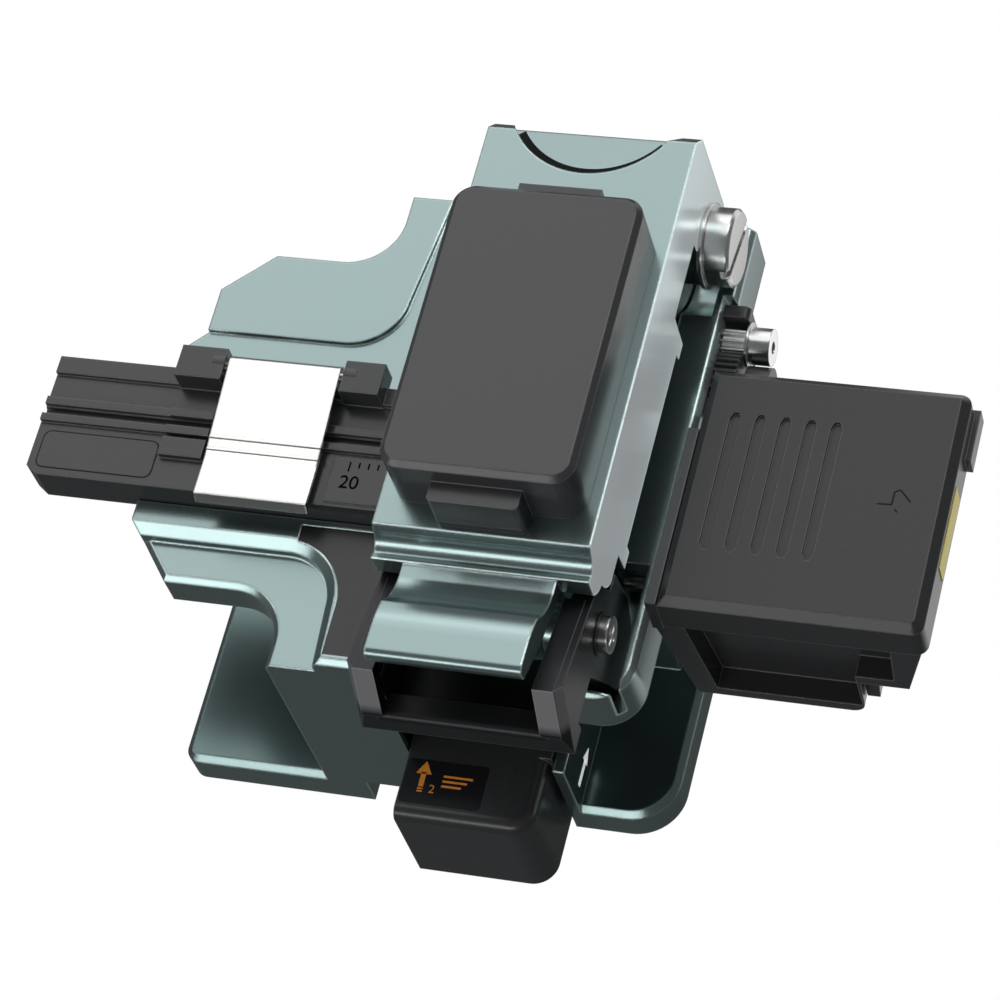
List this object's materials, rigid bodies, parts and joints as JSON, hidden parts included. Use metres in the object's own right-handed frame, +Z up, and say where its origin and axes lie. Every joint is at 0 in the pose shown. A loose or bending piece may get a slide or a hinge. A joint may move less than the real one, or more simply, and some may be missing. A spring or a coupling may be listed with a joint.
{
  "type": "fibre cleaver",
  "caption": "Bench fibre cleaver: hinged clamp arm over a sliding carriage with a blade wheel, a fibre holder, a latch frame and a scrap bin on one aluminium base.",
  "frame": {"origin": "on the plane the cleaver stands on, under the point where the blade wheel's plane crosses the fibre", "axes": "+X along the fibre, from the fibre holder towards the scrap bin; +Y across the fibre, from the latch towards the arm's hinge; +Z up"},
  "size_m": [0.0957, 0.0638, 0.0545],
  "materials": {
    "anodised": "fine bead-blasted grey-green anodising, bright milled edges",
    "black_plastic": "satin moulded",
    "cover_plastic": "satin moulded, fine texture",
    "bin_plastic": "satin moulded",
    "black_alloy": "satin black anodising",
    "clamp_alloy": "satin",
    "steel": "turned and polished",
    "spring_steel": "polished",
    "black_steel": "blackened",
    "blade_carbide": "ground",
    "rubber": "soft matt",
    "printed_plate": "printed, satin",
    "printed_patch": "printed, satin"
  },
  "bodies": {
    "base": {"base_block": "anodised", "base_pad": "rubber", "deck_inlay": "printed_plate", "fibre_holder": "black_plastic", "clip_pin": "steel", "holder_screws": "black_steel", "lower_clamp_left": "steel", "lower_pad_left": "rubber", "lower_clamp_right": "steel", "lower_pad_right": "rubber", "base_magnets": "steel", "latch_screws": "steel", "latch_washers": "black_steel", "stop_screw": "steel", "slide_rail": "steel", "bin_body": "black_plastic", "bin_screws": "steel", "spindle_bush": "black_plastic", "bin_gear_pin": "black_plastic", "spindle_guard": "black_plastic"},
    "fibre_clip": {"leaf_clip": "spring_steel"},
    "arm": {"clamp_arm": "anodised", "arm_cover": "cover_plastic", "arm_magnets": "steel", "hinge_screw": "steel", "hinge_washer": "steel", "upper_clamp": "clamp_alloy", "upper_pad_left": "rubber", "upper_pad_right": "rubber", "clamp_screws": "steel", "arm_gear_sector": "steel"},
    "spindle": {"drive_pinion": "steel", "spindle_shaft": "steel", "output_pinion": "steel"},
    "feed_gear": {"bin_gear": "black_plastic"},
    "anvil_pin": {"anvil": "steel"},
    "latch": {"latch_frame": "black_alloy"},
    "carriage": {"slide_runner": "steel", "carriage_block": "clamp_alloy", "carriage_handle": "black_plastic", "blade_post": "clamp_alloy", "blade_axle": "steel", "blade_cap": "steel"},
    "blade": {"blade_wheel": "blade_carbide"},
    "lid": {"bin_lid": "bin_plastic", "bin_patch": "printed_patch"}
  },
  "joints": [
    {"name": "arm_hinge", "type": "hinge", "parent": "base", "child": "arm", "pos_m": [0, 0.0261, 0.0353], "axis": [-1, 0, 0], "range_deg": [0, 56]},
    {"name": "anvil_slide", "type": "slide", "parent": "arm", "child": "anvil_pin", "axis": [0, 0, -1], "range_m": [0, 0.0007], "stiffness_N_per_m": 200},
    {"name": "latch_hinge", "type": "hinge", "parent": "base", "child": "latch", "pos_m": [0, -0.01955, 0.03715], "axis": [1, 0, 0], "range_deg": [0, 9], "stiffness_Nm_per_rad": 0.05, "springref_deg": -5.73},
    {"name": "carriage_slide", "type": "slide", "parent": "base", "child": "carriage", "axis": [0, 1, 0], "range_m": [0, 0.012]},
    {"name": "blade_spin", "type": "hinge", "parent": "carriage", "child": "blade", "pos_m": [0, -0.006, 0.02635], "axis": [1, 0, 0], "continuous": true},
    {"name": "clip_hinge", "type": "hinge", "parent": "base", "child": "fibre_clip", "pos_m": [0, 0.0065, 0.0356], "axis": [-1, 0, 0], "range_deg": [0, 95]},
    {"name": "spindle_spin", "type": "hinge", "parent": "base", "child": "spindle", "pos_m": [0, 0.01847, 0.02944], "axis": [1, 0, 0], "range_deg": [0, 360]},
    {"name": "feed_gear_spin", "type": "hinge", "parent": "base", "child": "feed_gear", "pos_m": [0, 0.01425, 0.02814], "axis": [-1, 0, 0], "range_deg": [0, 150]},
    {"name": "lid_slide", "type": "slide", "parent": "base", "child": "lid", "axis": [1, 0, 0], "range_m": [0, 0.02]}
  ],
  "couplings": [
    {"joint": "spindle_spin", "follows": "arm_hinge", "ratio": 6.4},
    {"joint": "feed_gear_spin", "follows": "arm_hinge", "ratio": 2.6667}
  ]
}
